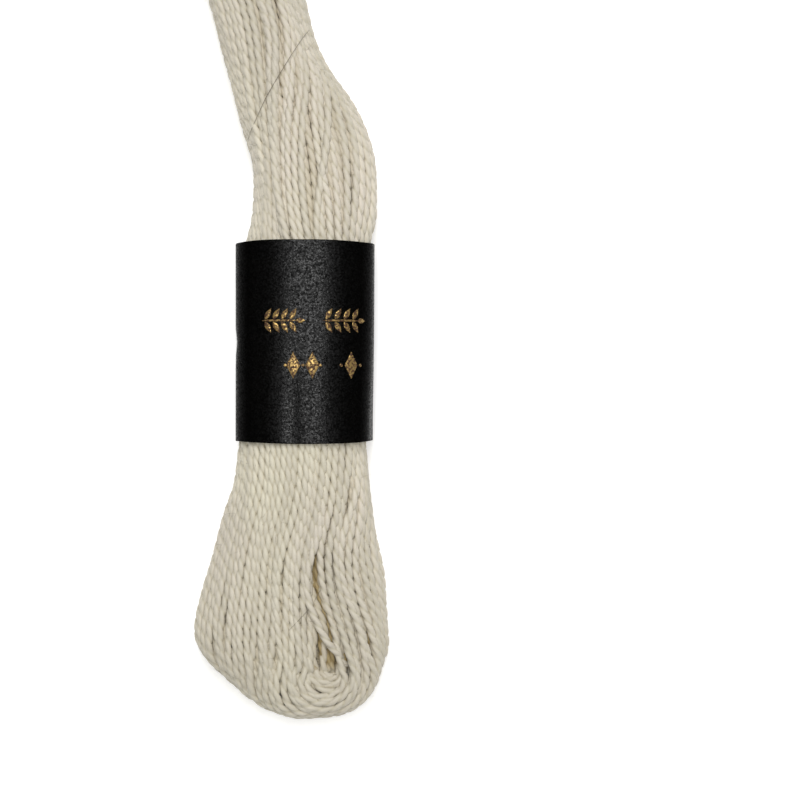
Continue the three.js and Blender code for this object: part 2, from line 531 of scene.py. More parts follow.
@dataclass
class Winding:
    """Lays the turns of the hank: closed strands down one leg, round a loop, up the other leg and back.

    A strand's rank says how many strands lie between it and the upper slit, in the outermost layer's count.

    Attributes:
        envelope: form that the outermost strands fill.
        near: the loop end with the eye.
        far: the other loop end.
        upper: the slit between the legs on the upper face.
        lower: the slit on the underside.
        outer_turns: turns in the outermost layer.
        right_pitch: distance between strands on the upper face of the right leg.
        left_fan: factor on that distance along the left leg.
        right_fan: factor on it along the right leg.
        leg_stations: meridians along a leg.
        end_stations: meridians round a loop end.
        samples: points on the upper half of a meridian.
        slant_reach: length at a leg's ends in which its meridians turn to those of the loop ends.
        most_slant: slant in degrees at which straight strands spread the most at the near corner.
        no_slant: slant in degrees past which they don't spread.
        slant_fade: degrees before that in which the spread fades.
        straight_rank: rank from which strands run straight to the near corner.
        straight_ease: ranks in which they come to do so.
        gap_passes: how often the slit's width is smoothed round the turn.
        first_rank: rank of the first strand beside a closed slit and an open one.
        rank_margin: least rank, counted from either slit.
        rank_step: step in which the rank at the edge is searched for.
        drift: how far a strand strays from its rank.
        bundle_turns: strands that draw together to a bundle.
        bundle_pull: how far in ranks they are drawn.
        bundle_shift: how far the bundles stray sideways, in bundles.
        unevenness: factor on the drift and the bundles along the hank.
        leaps: how strands pass over each other.
        unlevel: how far a strand rises and sinks.
        open_gap: half width from which a slit counts as open.
        ahead: distance between a strand and the point beside it that shows which way the surface faces.
        surface_passes: how often strands are smoothed on the surface.
        strand_passes: how often they and their outward direction are smoothed afterwards.
        floor_clearance: least height of a strand's middle.
    """

    envelope: Envelope
    near: LoopEnd = LoopEnd(-29.98, -26.4, -22.4, -23.6, -24.9, (0.95, 2.1, 1.0))
    far: LoopEnd = LoopEnd(69.65, 64.6, 64.6, 63.5, 63.5, (0.4, 0.4, 0.4))
    upper: Slit = Slit(
        y=(-26.4, -25.4, -23.6, -22.0, -20.4, -18.3, -17.0, -16.1, -13.2, -8.0, 5.0, 10.0, 13.0, 16.0, 18.5,
           19.4, 20.4, 21.6, 22.8, 24.0, 27.0, 34.0, 42.0, 50.0, 57.0, 64.6),
        x=(1.8, 1.72, 1.5, 1.2, 0.9, 0.78, 0.8, 0.95, 1.85, 2.4, 0.2, -0.8, -1.1, -1.1, -0.8,
           -0.6, -0.45, -0.45, -0.5, -0.6, -1.4, -3.2, -5.2, -6.3, -6.7, -6.7),
        gap=(1.0, 0.95, 0.85, 0.55, 0.36, 0.27, 0.16, 0.04, 0.0, 0.0, 0.0, 0.0, 0.0, 0.0, 0.0,
             0.05, 0.25, 0.3, 0.12, 0.0, 0.0, 0.0, 0.0, 0.1, 0.4, 0.4),
    )
    lower: Slit = Slit(
        y=(-22.4, -16.0, -8.0, 8.0, 20.0, 34.0, 50.0, 64.6),
        x=(-5.4, -4.4, -2.4, -2.0, -3.6, -6.2, -6.9, -6.7),
        gap=(0.2, 0.1, 0.0, 0.0, 0.0, 0.0, 0.1, 0.3),
    )
    outer_turns: int = 29
    right_pitch: float = 0.57
    left_fan: Profile = Profile(
        (-8.0, 8.0, 12.0, 16.0, 20.0, 23.5, 28.0, 38.0), (1.0, 1.06, 1.14, 1.16, 1.16, 1.15, 1.1, 1.0)
    )
    right_fan: Profile = Profile(
        (-8.0, 8.0, 12.0, 16.0, 20.0, 23.5, 28.0, 38.0), (1.0, 1.04, 1.12, 1.1, 0.95, 0.87, 0.92, 1.0)
    )
    leg_stations: int = 190
    end_stations: int = 44
    samples: int = 44
    slant_reach: float = 14.0
    most_slant: float = 42.0
    no_slant: float = 80.0
    slant_fade: float = 35.0
    straight_rank: float = 4.0
    straight_ease: float = 6.0
    gap_passes: int = 8
    first_rank: Pair = (0.25, 0.5)
    rank_margin: float = 0.3
    rank_step: float = 0.02
    drift: Wander = Wander(4, 26, 0.9, 0.13)
    bundle_turns: float = 3.4
    bundle_pull: float = 0.16
    bundle_shift: Wander = Wander(1, 7, 0.5, 0.8)
    unevenness: Profile = Profile((-26.0, -18.0, -11.0, 12.0, 20.0), (1.5, 1.05, 0.35, 0.35, 1.0))
    leaps: Leaps = Leaps()
    unlevel: Wander = Wander(6, 40, 0.7, 0.07)
    open_gap: float = 0.3
    ahead: float = 0.2
    surface_passes: int = 6
    strand_passes: int = 4
    floor_clearance: float = 0.33

    def meridians(self) -> Meridians:
        """Stations round a whole turn: left leg, near end, right leg and far end.

        Seen from above, a meridian goes sin(πt/2) of the way from the upper slit to the edge, and then
        1 - cos(πt/2) of the way on to the lower slit. Straight strands cross it 1/cos(slant) as far apart.
        """
        left, right = self._leg(-1.0), self._leg(1.0)
        near, far = self._end(self.near), self._end(self.far)
        top, edge, under = (
            np.concatenate([down[::-1], round_near, up, round_far[::-1]])
            for down, round_near, up, round_far in zip(left, near, right, far)
        )
        rise, fall = np.linspace(0, 1, self.end_stations), np.linspace(1, 0, self.leg_stations)
        squeeze = np.concatenate([0 * fall, rise, eased(2 * fall - 1), 0 * rise])
        ray = unit(near[1] - near[0])
        slant = np.degrees(np.arctan2(-ray[:, 1], -ray[:, 0]))
        straight = 1 / np.cos(np.radians(np.clip(slant, 0, self.most_slant))) - 1
        spread = np.zeros(len(top))
        spread[len(left[0]) :][: len(ray)] = straight * eased((self.no_slant - slant) / self.slant_fade)
        t = np.linspace(0, 1, self.samples)[None, :, None]
        over = mixed(top[:, None], edge[:, None], np.sin(math.pi / 2 * t))
        back = mixed(edge[:, None], under[:, None], 1 - np.cos(math.pi / 2 * t[:, 1:]))
        height = self.envelope.height
        upper = height(over[..., 0], over[..., 1], 1.0)
        lower = height(back[..., 0], back[..., 1], -1.0)
        halves = [
            np.concatenate([half, z[..., None]], axis=-1) for half, z in ((over, upper), (back, lower))
        ]
        points = np.concatenate(halves, axis=1)
        return Meridians(
            points=points,
            reached=run_length(points),
            edge=self.samples - 1,
            top_gap=self._openings(top[:, 1]),
            under_gap=self.lower.opening(under[:, 1]),
            squeeze=squeeze,
            spread=spread,
        )

    def _openings(self, y: Floats) -> Floats:
        """Half width of the upper slit at every station, whose foot is at the given y."""
        gap = self.upper.opening(y)
        legs, ends = self.leg_stations, self.end_stations
        gap[legs : legs + ends] = self.near.opening(ends)
        gap[2 * legs + ends :] = self.far.opening(ends)[::-1]
        return softened(gap[None, :, None], self.gap_passes)[0, :, 0]

    def _leg(self, sign: float) -> tuple[Floats, Floats, Floats]:
        """Upper slit, edge and lower slit seen from above along a leg, from the near end to the far one.

        The three run level across the hank, and slant within reach of an end to meet that end's own places.
        """
        near, far = self.near, self.far
        y = mixed(near.top_foot, far.top_foot, np.linspace(0, 1, self.leg_stations))
        near_share = 1 - eased((y - near.top_foot) / self.slant_reach)
        far_share = 1 - eased((far.top_foot - y) / self.slant_reach)
        edge_y = y + near_share * (near.shoulder(sign) - near.top_foot)
        edge_y = edge_y + far_share * (far.shoulder(sign) - far.top_foot)
        under_y = y + near_share * (near.under_foot - near.top_foot)
        top = np.stack([self.upper.place(y), y], axis=1)
        edge = np.stack([self.envelope.side(edge_y, sign), edge_y], axis=1)
        under = np.stack([self.lower.place(under_y), under_y], axis=1)
        return top, edge, under

    def _end(self, end: LoopEnd) -> tuple[Floats, Floats, Floats]:
        """Upper slit, edge and lower slit for stations round an end, from its left shoulder to its right."""
        steps = self.end_stations
        edge = self.envelope.outline_between(end.left_shoulder, end.right_shoulder, end.tip, steps)
        feet = ((self.upper, end.top_foot), (self.lower, end.under_foot))
        top, under = (np.tile([float(slit.place(foot)), foot], (steps, 1)) for slit, foot in feet)
        return top, edge, under

    def paths(self, lines: Meridians, layer: Layer, rng: np.random.Generator) -> tuple[Floats, Floats]:
        """Centre lines of a layer's strands, and the outward direction along them.

        Args:
            lines: the meridians that the strands cross.
            layer: the layer that the strands are in.
            rng: source of the unevenness.

        Returns:
            Two arrays, turns by stations by 3.
        """
        rank, raised = self._ranks(lines, layer, rng)
        distance = self._distances(lines, rank, layer.openness)
        surface = softened(lines.at(distance), self.surface_passes)
        beside = softened(lines.at(distance + self.ahead), self.surface_passes)
        outward = unit(np.cross(beside - surface, closed_slope(surface)))
        outward = unit(softened(outward, self.strand_passes))
        by_the_slit = np.clip(lines.top_gap / self.open_gap, 0, 1)
        by_the_slit = by_the_slit * np.clip(1 - rank / layer.drop_reach, 0, 1)
        lift = self.unlevel.drawn(rng, *rank.shape) + raised - by_the_slit * layer.slit_drop
        path = surface - outward * (layer.depth - lift)[..., None]
        path[..., 2] = np.maximum(path[..., 2], self.floor_clearance)
        return softened(path, self.strand_passes), outward

    def _ranks(self, lines: Meridians, layer: Layer, rng: np.random.Generator) -> tuple[Floats, Floats]:
        """Rank of each strand at each station, and how far its leaps raise it there."""
        stations = len(lines.reached)
        first = mixed(*self.first_rank, layer.openness)
        even = ((np.arange(layer.turns) + first) * self.outer_turns / layer.turns)[:, None]
        drift = self.drift.drawn(rng, layer.turns, stations)
        bundle = even / self.bundle_turns + self.bundle_shift.drawn(rng, 1, stations)
        bundled = np.sin(FULL_TURN * bundle) * self.bundle_pull
        uneven = (drift + bundled) * self.unevenness.at(lines.points[:, 0, 1])
        moved, raised = self.leaps.drawn(layer, stations, rng)
        rank = np.clip(even + moved + uneven, self.rank_margin, self.outer_turns - self.rank_margin)
        return rank, raised

    def _distances(self, lines: Meridians, rank: Floats, openness: float) -> Floats:
        """Distances of strands from the upper slit along the meridians.

        On the upper face a strand lies its rank times the pitch from the slit, and the strands that don't
        fit there share the rest of the way to the lower slit.

        Args:
            lines: the meridians that the strands cross.
            rank: the strands' ranks, strands by stations.
            openness: share of the slit's width that stays open.

        Returns:
            An array of strands by stations.
        """
        total, top_length = lines.reached[:, -1], lines.reached[:, lines.edge]
        along = lines.points[:, 0, 1]
        fan = self.left_fan.at(along)
        right = slice(self.leg_stations + self.end_stations, 2 * self.leg_stations + self.end_stations)
        fan[right] = self.right_fan.at(along[right])
        even_pitch = (total - lines.top_gap - lines.under_gap) / self.outer_turns
        pitch = mixed(even_pitch, self.right_pitch, lines.squeeze) * fan

        def on_top(ranks: Floats) -> Floats:
            """Distance on the upper face of strands with the given ranks."""
            straight = 1 + lines.spread * eased((ranks - self.straight_rank) / self.straight_ease)
            return lines.top_gap * openness + ranks * pitch * straight

        ranks = np.arange(0.0, self.outer_turns, self.rank_step)[:, None]
        at_edge = self.rank_step * (on_top(ranks) <= top_length).sum(axis=0)
        beyond = np.maximum(self.outer_turns - at_edge, 1.0)
        under_length = total - top_length - lines.under_gap
        underneath = top_length + (rank - at_edge) / beyond * under_length
        return np.where(rank <= at_edge, on_top(rank), underneath)


# Painted shade inside the hank, as a share of the darker inner colour: full along the hank, but little
# beyond the foot of the loop's eye
DEPTH_SHADE_ALONG = Profile((-26.4, -25.7), (0.15, 1.0))
# Painted shade: the turns are coloured greyer towards the near loop end, which lies in shade
FOOT_SHADE = Profile((-28.5, -20.0), (0.85, 0.0))


@dataclass(frozen=True)
class Yarn:
    """Two plies twisted round each other and pressed together.

    Attributes:
        reach: distance of a ply's outermost point from the strand's middle.
        bulge: place of a ply's broadest point, along and across the line through both plies.
        waist: half the thickness between the plies.
        flatness: thickness of a strand with few sides, as a share of its breadth.
        twist_length: length in which the plies go once round each other, in the S direction.
    """

    reach: float = 0.322
    bulge: Pair = (0.198, 0.236)
    waist: float = 0.2
    flatness: float = 0.8
    twist_length: float = 2.15

    def section(self, sides: int) -> Floats:
        """Outline as x and y: two plies side by side with a waist, or an oval if it has under 8 sides."""
        if sides >= 8:
            x, y = self.bulge
            half = [(self.reach, 0.0), (x, y), (0.0, self.waist), (-x, y)]
            return np.array(half + [(-x, -y) for x, y in half])
        angle = np.arange(sides) / sides * FULL_TURN
        return np.stack([self.reach * np.cos(angle), self.flatness * self.reach * np.sin(angle)], axis=1)

    def spin(self, paths: Floats, outward: Floats, layer: Layer, rng: np.random.Generator) -> Surface:
        """Sweeps the section along closed strands while it turns once in each twist length.

        Args:
            paths: centre lines, strands by stations by 3.
            outward: a direction across each strand that its turning is counted from.
            layer: the layer that the strands are in.
            rng: source of each strand's starting turn and tint.

        Returns:
            The surface of all the strands.
        """
        strands, sides = len(paths), layer.sides
        closed, facing = (np.concatenate([given, given[:, :1]], axis=1) for given in (paths, outward))
        lengths = run_length(closed)
        steps = int(round(float(lengths[:, -1].mean()) / layer.step))
        at = np.arange(steps) / steps
        centre, across = (resampled(given, lengths, at) for given in (closed, facing))
        twists = np.round(lengths[:, -1] / self.twist_length)
        start = rng.uniform(0, FULL_TURN, strands)
        turned = start[:, None] - FULL_TURN * twists[:, None] * at
        points = self._rings(centre, across, closed_slope(centre), turned, sides).reshape(-1, 3)
        first = np.arange(strands)[:, None, None] * steps * sides
        quads = grid_quads(steps, sides, True)[None] + first
        uv = self._map(steps, sides)[None] * np.stack([np.ones(strands), lengths[:, -1]], 1)[:, None, None]
        tint = np.repeat(rng.uniform(0, 1, strands), steps * sides)
        y = points[:, 1]
        # Painted shade: depth_shade colours the inner layers darker to stand for the shade inside the hank
        # The tint is each strand's own tone, pushed towards the grey colour as painted shade at the near
        # loop end
        values = {"tint": mixed(tint, 1.0, FOOT_SHADE.at(y)), "depth_shade": layer.depth_shade * DEPTH_SHADE_ALONG.at(y)}
        return Surface(points, quads.reshape(-1, 4), uv.reshape(-1, 2), values)

    def lay(self, path: Floats, outward: Floats, step: float, sides: int, tint: float) -> Surface:
        """Sweeps the section along one open strand and closes both ends.

        Args:
            path: centre line, stations by 3.
            outward: a direction across the strand at each station.
            step: length of a mesh step.
            sides: points round the section.
            tint: the strand's place between the pale and the grey colour.

        Returns:
            The strand's surface.
        """
        lengths = run_length(path)
        steps = int(round(float(lengths[-1]) / step)) + 1
        at = np.linspace(0, 1, steps)
        centre, across = (resampled(given[None], lengths[None], at) for given in (path, outward))
        along = unit(np.gradient(centre, axis=1))
        turned = -FULL_TURN * lengths[-1] / self.twist_length * at[None]
        surface = tube(self._rings(centre, across, along, turned, sides)[0])
        sidewise = self._map(steps, sides)[: (steps - 1) * sides] * np.array([1.0, lengths[-1]])
        caps = np.zeros((len(surface.quads) - len(sidewise), 4, 2))
        surface.uv = np.concatenate([sidewise, caps]).reshape(-1, 2)
        count = len(surface.points)
        surface.values = {"tint": np.full(count, tint), "depth_shade": np.zeros(count)}
        return surface

    def _rings(self, centre: Floats, across: Floats, along: Floats, turned: Floats, sides: int) -> Floats:
        """Points of the section turned by an angle at each place, strands by steps by sides by 3."""
        normal = unit(across - (across * along).sum(-1, keepdims=True) * along)
        side = np.cross(along, normal)
        shape = self.section(sides)
        cos, sin = np.cos(turned)[..., None], np.sin(turned)[..., None]
        u = shape[:, 0] * cos - shape[:, 1] * sin
        v = shape[:, 0] * sin + shape[:, 1] * cos
        return centre[:, :, None] + u[..., None] * normal[:, :, None] + v[..., None] * side[:, :, None]

    @staticmethod
    def _map(steps: int, sides: int) -> Floats:
        """For each corner of a strand's faces, the share of the way round and the share along."""
        row, column = np.divmod(np.arange(steps * sides), sides)
        round_share = np.stack([column, column + 1, column + 1, column], axis=1) / sides
        along_share = np.stack([row, row, row + 1, row + 1], axis=1) / steps
        return np.stack([round_share, along_share], axis=-1)


# Finishes


@dataclass(frozen=True)
class Mottling:
    """Values of the mottling group: its scale, its stretch along each axis and its detail."""

    scale: float
    stretch: Place = (1.0, 1.0, 1.0)
    detail: float = 2.0


class Sheet:
    """A material's or group's nodes, with short calls to add and join them."""

    def __init__(self, tree: bpy.types.NodeTree) -> None:
        """Keeps the tree that the nodes are added to."""
        self.tree = tree

    def feed(self, value: Value, socket: Socket) -> None:
        """Joins an output to an input, or sets the input to a plain number, direction or colour."""
        if isinstance(value, Socket):
            self.tree.links.new(value, socket)
        else:
            socket.default_value = (*value, 1.0) if socket.type == "RGBA" else value

    def add(self, kind: str, feeds: dict[str | int, Value], **settings: object) -> bpy.types.Node:
        """Adds a node of a kind, sets its properties and feeds its inputs by name or number."""
        node = self.tree.nodes.new(kind)
        for name, value in settings.items():
            setattr(node, name, value)
        for key, value in feeds.items():
            self.feed(value, node.inputs[key])
        return node

    def math(self, operation: str, *values: Value) -> Socket:
        """A value worked out from numbers and outputs."""
        return self.add("ShaderNodeMath", dict(enumerate(values)), operation=operation).outputs[0]

    def across(self, vector: Socket) -> Socket:
        """The first of a direction's or a colour's three numbers."""
        return self.add("ShaderNodeSeparateXYZ", {0: vector}).outputs["X"]

    def ramp(self, source: Socket, stops: Stops) -> Socket:
        """Grey values over a source between 0 and 1, from pairs of place and value."""
        node = self.add("ShaderNodeValToRGB", {"Fac": source})
        elements = node.color_ramp.elements
        while len(elements) < len(stops):
            elements.new(0.5)
        for element, (place, value) in zip(elements, stops):
            element.position = place
            element.color = (value, value, value, 1.0)
        return node.outputs["Color"]

    def blend(self, share: Socket, low: Colour | Socket, high: Colour | Socket) -> Socket:
        """A colour between two, each a plain colour or an output."""
        return self.add("ShaderNodeMix", {0: share, 6: low, 7: high}, data_type="RGBA").outputs[2]

    def mottled(self, where: Socket, how: Mottling) -> Socket:
        """Places the mottling group with its own values and gives its output."""
        feeds = {"Vector": where, "Stretch": how.stretch, "Scale": how.scale, "Detail": how.detail}
        return self.add("ShaderNodeGroup", feeds, node_tree=mottle_group()).outputs["Value"]


def mottle_group() -> bpy.types.NodeTree:
    """A node group that gives soft mottling between 0 and 1, stretched along its coordinates."""
    name = "mottle"
    if name in bpy.data.node_groups:
        return bpy.data.node_groups[name]
    tree = bpy.data.node_groups.new(name, "ShaderNodeTree")
    inputs = {"Vector": "Vector", "Stretch": "Vector", "Scale": "Float", "Detail": "Float"}
    for title, kind in inputs.items():
        tree.interface.new_socket(title, in_out="INPUT", socket_type=f"NodeSocket{kind}")
    tree.interface.new_socket("Value", in_out="OUTPUT", socket_type="NodeSocketFloat")
    sheet = Sheet(tree)
    given = sheet.add("NodeGroupInput", {}).outputs
    stretch = {0: given["Vector"], 1: given["Stretch"]}
    stretched = sheet.add("ShaderNodeVectorMath", stretch, operation="MULTIPLY").outputs["Vector"]
    feeds = {"Vector": stretched, "Scale": given["Scale"], "Detail": given["Detail"]}
    noise = sheet.add("ShaderNodeTexNoise", feeds).outputs[0]
    sheet.add("NodeGroupOutput", {"Value": noise})
    return tree


class Coat(Sheet):
    """A new material's nodes and its Principled shader."""

    def __init__(self, name: str) -> None:
        """Makes the material."""
        self.material = bpy.data.materials.new(name)
        self.material.use_nodes = True
        super().__init__(self.material.node_tree)

    def places(self) -> bpy.types.bpy_prop_collection:
        """The texture coordinates' outputs."""
        return self.add("ShaderNodeTexCoord", {}).outputs

    def attribute(self, name: str) -> Socket:
        """A number that the surface has at each point."""
        return self.add("ShaderNodeAttribute", {}, attribute_name=name).outputs["Fac"]

    def relief(self, height: Socket, depth: float, strength: float) -> Socket:
        """Normal of a bumpy surface, whose bumps have a depth in millimetres."""
        feeds = {"Strength": strength, "Distance": depth * MM, "Height": height}
        return self.add("ShaderNodeBump", feeds).outputs["Normal"]

    def finished(self, feeds: dict[str, Value]) -> bpy.types.Material:
        """Feeds the shader's inputs by name and gives the material."""
        for name, value in feeds.items():
            self.feed(value, self.tree.nodes["Principled BSDF"].inputs[name])
        return self.material


@dataclass(frozen=True)
class CottonFinish:
    """Mercerised cream cotton: a soft sheen, fine fibres along the plies, and faint differences in colour.

    Attributes:
        straw, rose: the two pale colours, which lie in clouds over the hank.
        grey: colour of greyer strands and patches, and of the painted shade at the near loop end.
        groove_shade: painted shade between the plies and between coarse fibres.
        inner, inner_groove_shade: painted shade, darker brown colours that stand for the shade inside the
            hank and in the loop's eye.
        patches, patch_edge: where it is greyer.
        strand_share: how much a strand's own tint, which also carries the painted shade at the near loop
            end, adds to that.
        clouds, cloud_edge: where it is more rose than straw.
        groove_shade_edge: how the painted shade of the grooves fades to the top of a ply.
            fibres, streaks: the fibres, and how much of the painted shade of the grooves shows between them.
        roughness: roughness from the low to the high fibres.
        inner_relief: height of the plies drawn on the plain core, over that of the fibres.
        relief: depth and strength of the fibres' bumps.
    """

    straw: Colour = (0.735, 0.69, 0.55)
    rose: Colour = (0.735, 0.67, 0.575)
    grey: Colour = (0.58, 0.537, 0.437)
    groove_shade: Colour = (0.57, 0.522, 0.394)
    inner: Colour = (0.37, 0.285, 0.14)
    inner_groove_shade: Colour = (0.23, 0.165, 0.07)
    patches: Mottling = Mottling(160.0, (1.0, 0.35, 1.0))
    patch_edge: Stops = ((0.4, 0.0), (0.95, 1.0))
    strand_share: float = 0.35
    clouds: Mottling = Mottling(110.0, (1.0, 0.5, 1.0))
    cloud_edge: Stops = ((0.38, 0.0), (0.62, 1.0))
    groove_shade_edge: Stops = ((0.0, 1.0), (0.65, 0.0))
    fibres: Mottling = Mottling(1.0, (34.0, 2.4, 1.0), 3.0)
    streaks: Stops = ((0.3, 0.25), (0.55, 0.0))
    roughness: Stops = ((0.3, 0.42), (0.7, 0.6))
    inner_relief: float = 3.0
    relief: Pair = (0.03, 0.6)

    def material(self) -> bpy.types.Material:
        """Builds the material. A ply's top lies where |cos| of the way round the strand is 1."""
        coat = Coat("pearl_cotton")
        places = coat.places()
        patches = coat.mottled(places["Object"], self.patches)
        # Grey share from the patches and each strand's tint, which includes the painted shade at the near
        # loop end
        grey_tone_and_shade = coat.math("MULTIPLY_ADD", coat.attribute("tint"), self.strand_share, patches)
        clouds = coat.ramp(coat.mottled(places["Object"], self.clouds), self.cloud_edge)
        pale = coat.blend(clouds, self.straw, self.rose)
        plain = coat.blend(coat.ramp(grey_tone_and_shade, self.patch_edge), pale, self.grey)
        way_round = coat.math("MULTIPLY", coat.across(places["UV"]), FULL_TURN)
        ply = coat.math("ABSOLUTE", coat.math("COSINE", way_round))
        # Painted shade in the grooves between the plies, and between the fibres through the streaks
        groove_shade_share = coat.ramp(ply, self.groove_shade_edge)
        fibres = coat.mottled(places["UV"], self.fibres)
        streaked = coat.blend(coat.ramp(fibres, self.streaks), plain, self.groove_shade)
        outer = coat.blend(groove_shade_share, streaked, self.groove_shade)
        # Painted shade inside the hank and in the loop's eye: a darker brown, darker still in the grooves
        deep = coat.blend(groove_shade_share, self.inner, self.inner_groove_shade)
        depth_shade = coat.attribute("depth_shade")
        height = coat.math("MULTIPLY_ADD", coat.math("MULTIPLY", ply, depth_shade), self.inner_relief, fibres)
        return coat.finished({
            "Base Color": coat.blend(depth_shade, outer, deep),
            "Roughness": coat.ramp(fibres, self.roughness),
            "Normal": coat.relief(height, *self.relief),
            "Specular IOR Level": 0.4,
            "Sheen Weight": 0.1,
            "Sheen Roughness": 0.4,
            "Subsurface Weight": 0.12,
            "Subsurface Radius": (1.0, 1.0, 1.0),
            "Subsurface Scale": 0.35 * MM,
        })


@dataclass(frozen=True)
class PaperFinish:
    """Black coated paper with a satin gloss and a fine, slightly sparkling grain.

    Attributes:
        black, lifted: its colours, which lie in clouds.
        grain, cloud: its grain and its clouds.
        roughness: roughness over the grain.
        relief: depth and strength of the grain's bumps.
        gloss: specular level from where the paper faces the eye to where it turns away.
        cell_scale: scale of the cells that sparkle.
        sparkle: factor on the gloss over the cells.
    """

    black: Colour = (0.0003, 0.0003, 0.0003)
    lifted: Colour = (0.0012, 0.001, 0.0008)
    grain: Mottling = Mottling(7000.0, detail=6.0)
    cloud: Mottling = Mottling(500.0)
    roughness: Stops = ((0.42, 0.2), (0.58, 0.5))
    relief: Pair = (0.025, 0.7)
    gloss: Stops = ((0.0, 0.12), (0.05, 0.055), (0.25, 0.012))
    cell_scale: float = 8500.0
    sparkle: Stops = ((0.0, 0.3), (1.0, 1.9))

    def material(self) -> bpy.types.Material:
        """Builds the material."""
        coat = Coat("black_paper")
        place = coat.places()["Object"]
        grain = coat.mottled(place, self.grain)
        facing = coat.add("ShaderNodeLayerWeight", {"Blend": 0.5}).outputs["Facing"]
        cells = coat.add("ShaderNodeTexVoronoi", {"Vector": place, "Scale": self.cell_scale})
        sparkle = coat.ramp(coat.across(cells.outputs["Color"]), self.sparkle)
        return coat.finished({
            "Base Color": coat.blend(coat.mottled(place, self.cloud), self.black, self.lifted),
            "Roughness": coat.ramp(grain, self.roughness),
            "Normal": coat.relief(grain, *self.relief),
            "Specular IOR Level": coat.math("MULTIPLY", coat.ramp(facing, self.gloss), sparkle),
        })


@dataclass(frozen=True)
class FoilFinish:
    """Gold foil print, worn to brown in small patches."""

    gold: Colour = (0.4, 0.268, 0.092)
    worn: Colour = (0.06, 0.024, 0.009)
    wear: Mottling = Mottling(6000.0, detail=4.0)
    wear_edge: Stops = ((0.4, 0.0), (0.56, 1.0))
    roughness: Stops = ((0.0, 0.38), (1.0, 0.7))
    metallic: Stops = ((0.0, 0.8), (1.0, 0.2))

    def material(self) -> bpy.types.Material:
        """Builds the material."""
        coat = Coat("gold_foil")
        wear = coat.ramp(coat.mottled(coat.places()["Object"], self.wear), self.wear_edge)
        return coat.finished({
            "Base Color": coat.blend(wear, self.gold, self.worn),
            "Roughness": coat.ramp(wear, self.roughness),
            "Metallic": coat.ramp(wear, self.metallic),
        })


@dataclass(frozen=True)
class FibreFinish:
    """Fine loose fibres, darker than the yarn against its highlights."""

    colour: Colour = (0.2, 0.17, 0.12)
    roughness: float = 0.6

    def material(self) -> bpy.types.Material:
        """Builds the material."""
        return Coat("loose_fibre").finished({"Base Color": self.colour, "Roughness": self.roughness})


@dataclass(frozen=True)
class FloorFinish:
    """A pale board, faintly lit from within, so that it comes out white round the hank."""

    pale: Colour = (0.86, 0.86, 0.85)
    paler: Colour = (0.9, 0.9, 0.89)
    clouds: Mottling = Mottling(8.0)
    roughness: float = 0.8
    glow: float = 0.35

    def material(self) -> bpy.types.Material:
        """Builds the material."""
        coat = Coat("pale_floor")
        clouds = coat.mottled(coat.places()["Object"], self.clouds)
        return coat.finished({
            "Base Color": coat.blend(clouds, self.pale, self.paler),
            "Roughness": self.roughness,
            "Emission Color": (1.0, 1.0, 1.0),
            "Emission Strength": self.glow,
        })


# The parts


def dress(piece: bpy.types.Object, material: bpy.types.Material) -> None:
    """Gives a piece its material and fastens it to the body."""
    piece.data.materials.append(material)
    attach(piece, BODY)
    log.info("%s: %d triangles", piece.name, 2 * len(piece.data.polygons))


@dataclass(frozen=True)
class Stray:
    """A turn that leaves its place beside the slit and crosses over the loop's eye.

    Attributes:
        x: its places across the hank.
        y: its places along it.
        lift: its height there over the other outer strands.
        density: stations between two of these places.
        rounding: stations on each side that a station is averaged with.
        step: length of a mesh step.
        tint: its place between the pale and the grey colour.
    """

    x: Numbers = (2.1, 1.64, 1.3, 1.04, 0.56, 0.25, 0.19, 0.41, 0.78, 1.36, 1.88, 2.25, 2.8, 3.3)
    y: Numbers = (
        -10.5, -12.6, -14.76, -15.7, -17.05, -18.3, -19.6,
        -20.85, -21.8, -23.06, -23.93, -24.4, -25.1, -26.0,
    )
    lift: Numbers = (
        -0.6, -0.3, 0.1, 0.15, 0.15, 0.15, 0.15, 0.18, 0.2, 0.15, 0.08, -0.15, -0.45, -0.7,
    )
    density: int = 24
    rounding: int = 11
    step: float = 0.2
    tint: float = 0.3

    def path(self, envelope: Envelope) -> Floats:
        """The strand's centre line over the hank's upper face."""
        last = len(self.x) - 1
        at = np.linspace(0, last, self.density * len(self.x))
        corners = read_off(at, np.arange(last + 1), np.array([self.x, self.y, self.lift]).T)
        kernel = np.hanning(2 * self.rounding + 1)
        padded = np.pad(corners, ((self.rounding, self.rounding), (0, 0)), mode="edge")
        x, y, lift = (np.convolve(column, kernel / kernel.sum(), mode="valid") for column in padded.T)
        return np.stack([x, y, envelope.height(x, y, 1.0) + lift], axis=1)

    def build(self, envelope: Envelope, yarn: Yarn) -> bpy.types.Object:
        """Makes the strand's object."""
        path = self.path(envelope)
        upward = np.tile([0.0, 0.0, 1.0], (len(path), 1))
        return yarn.lay(path, upward, self.step, 8, self.tint).build("turn_over_eye")


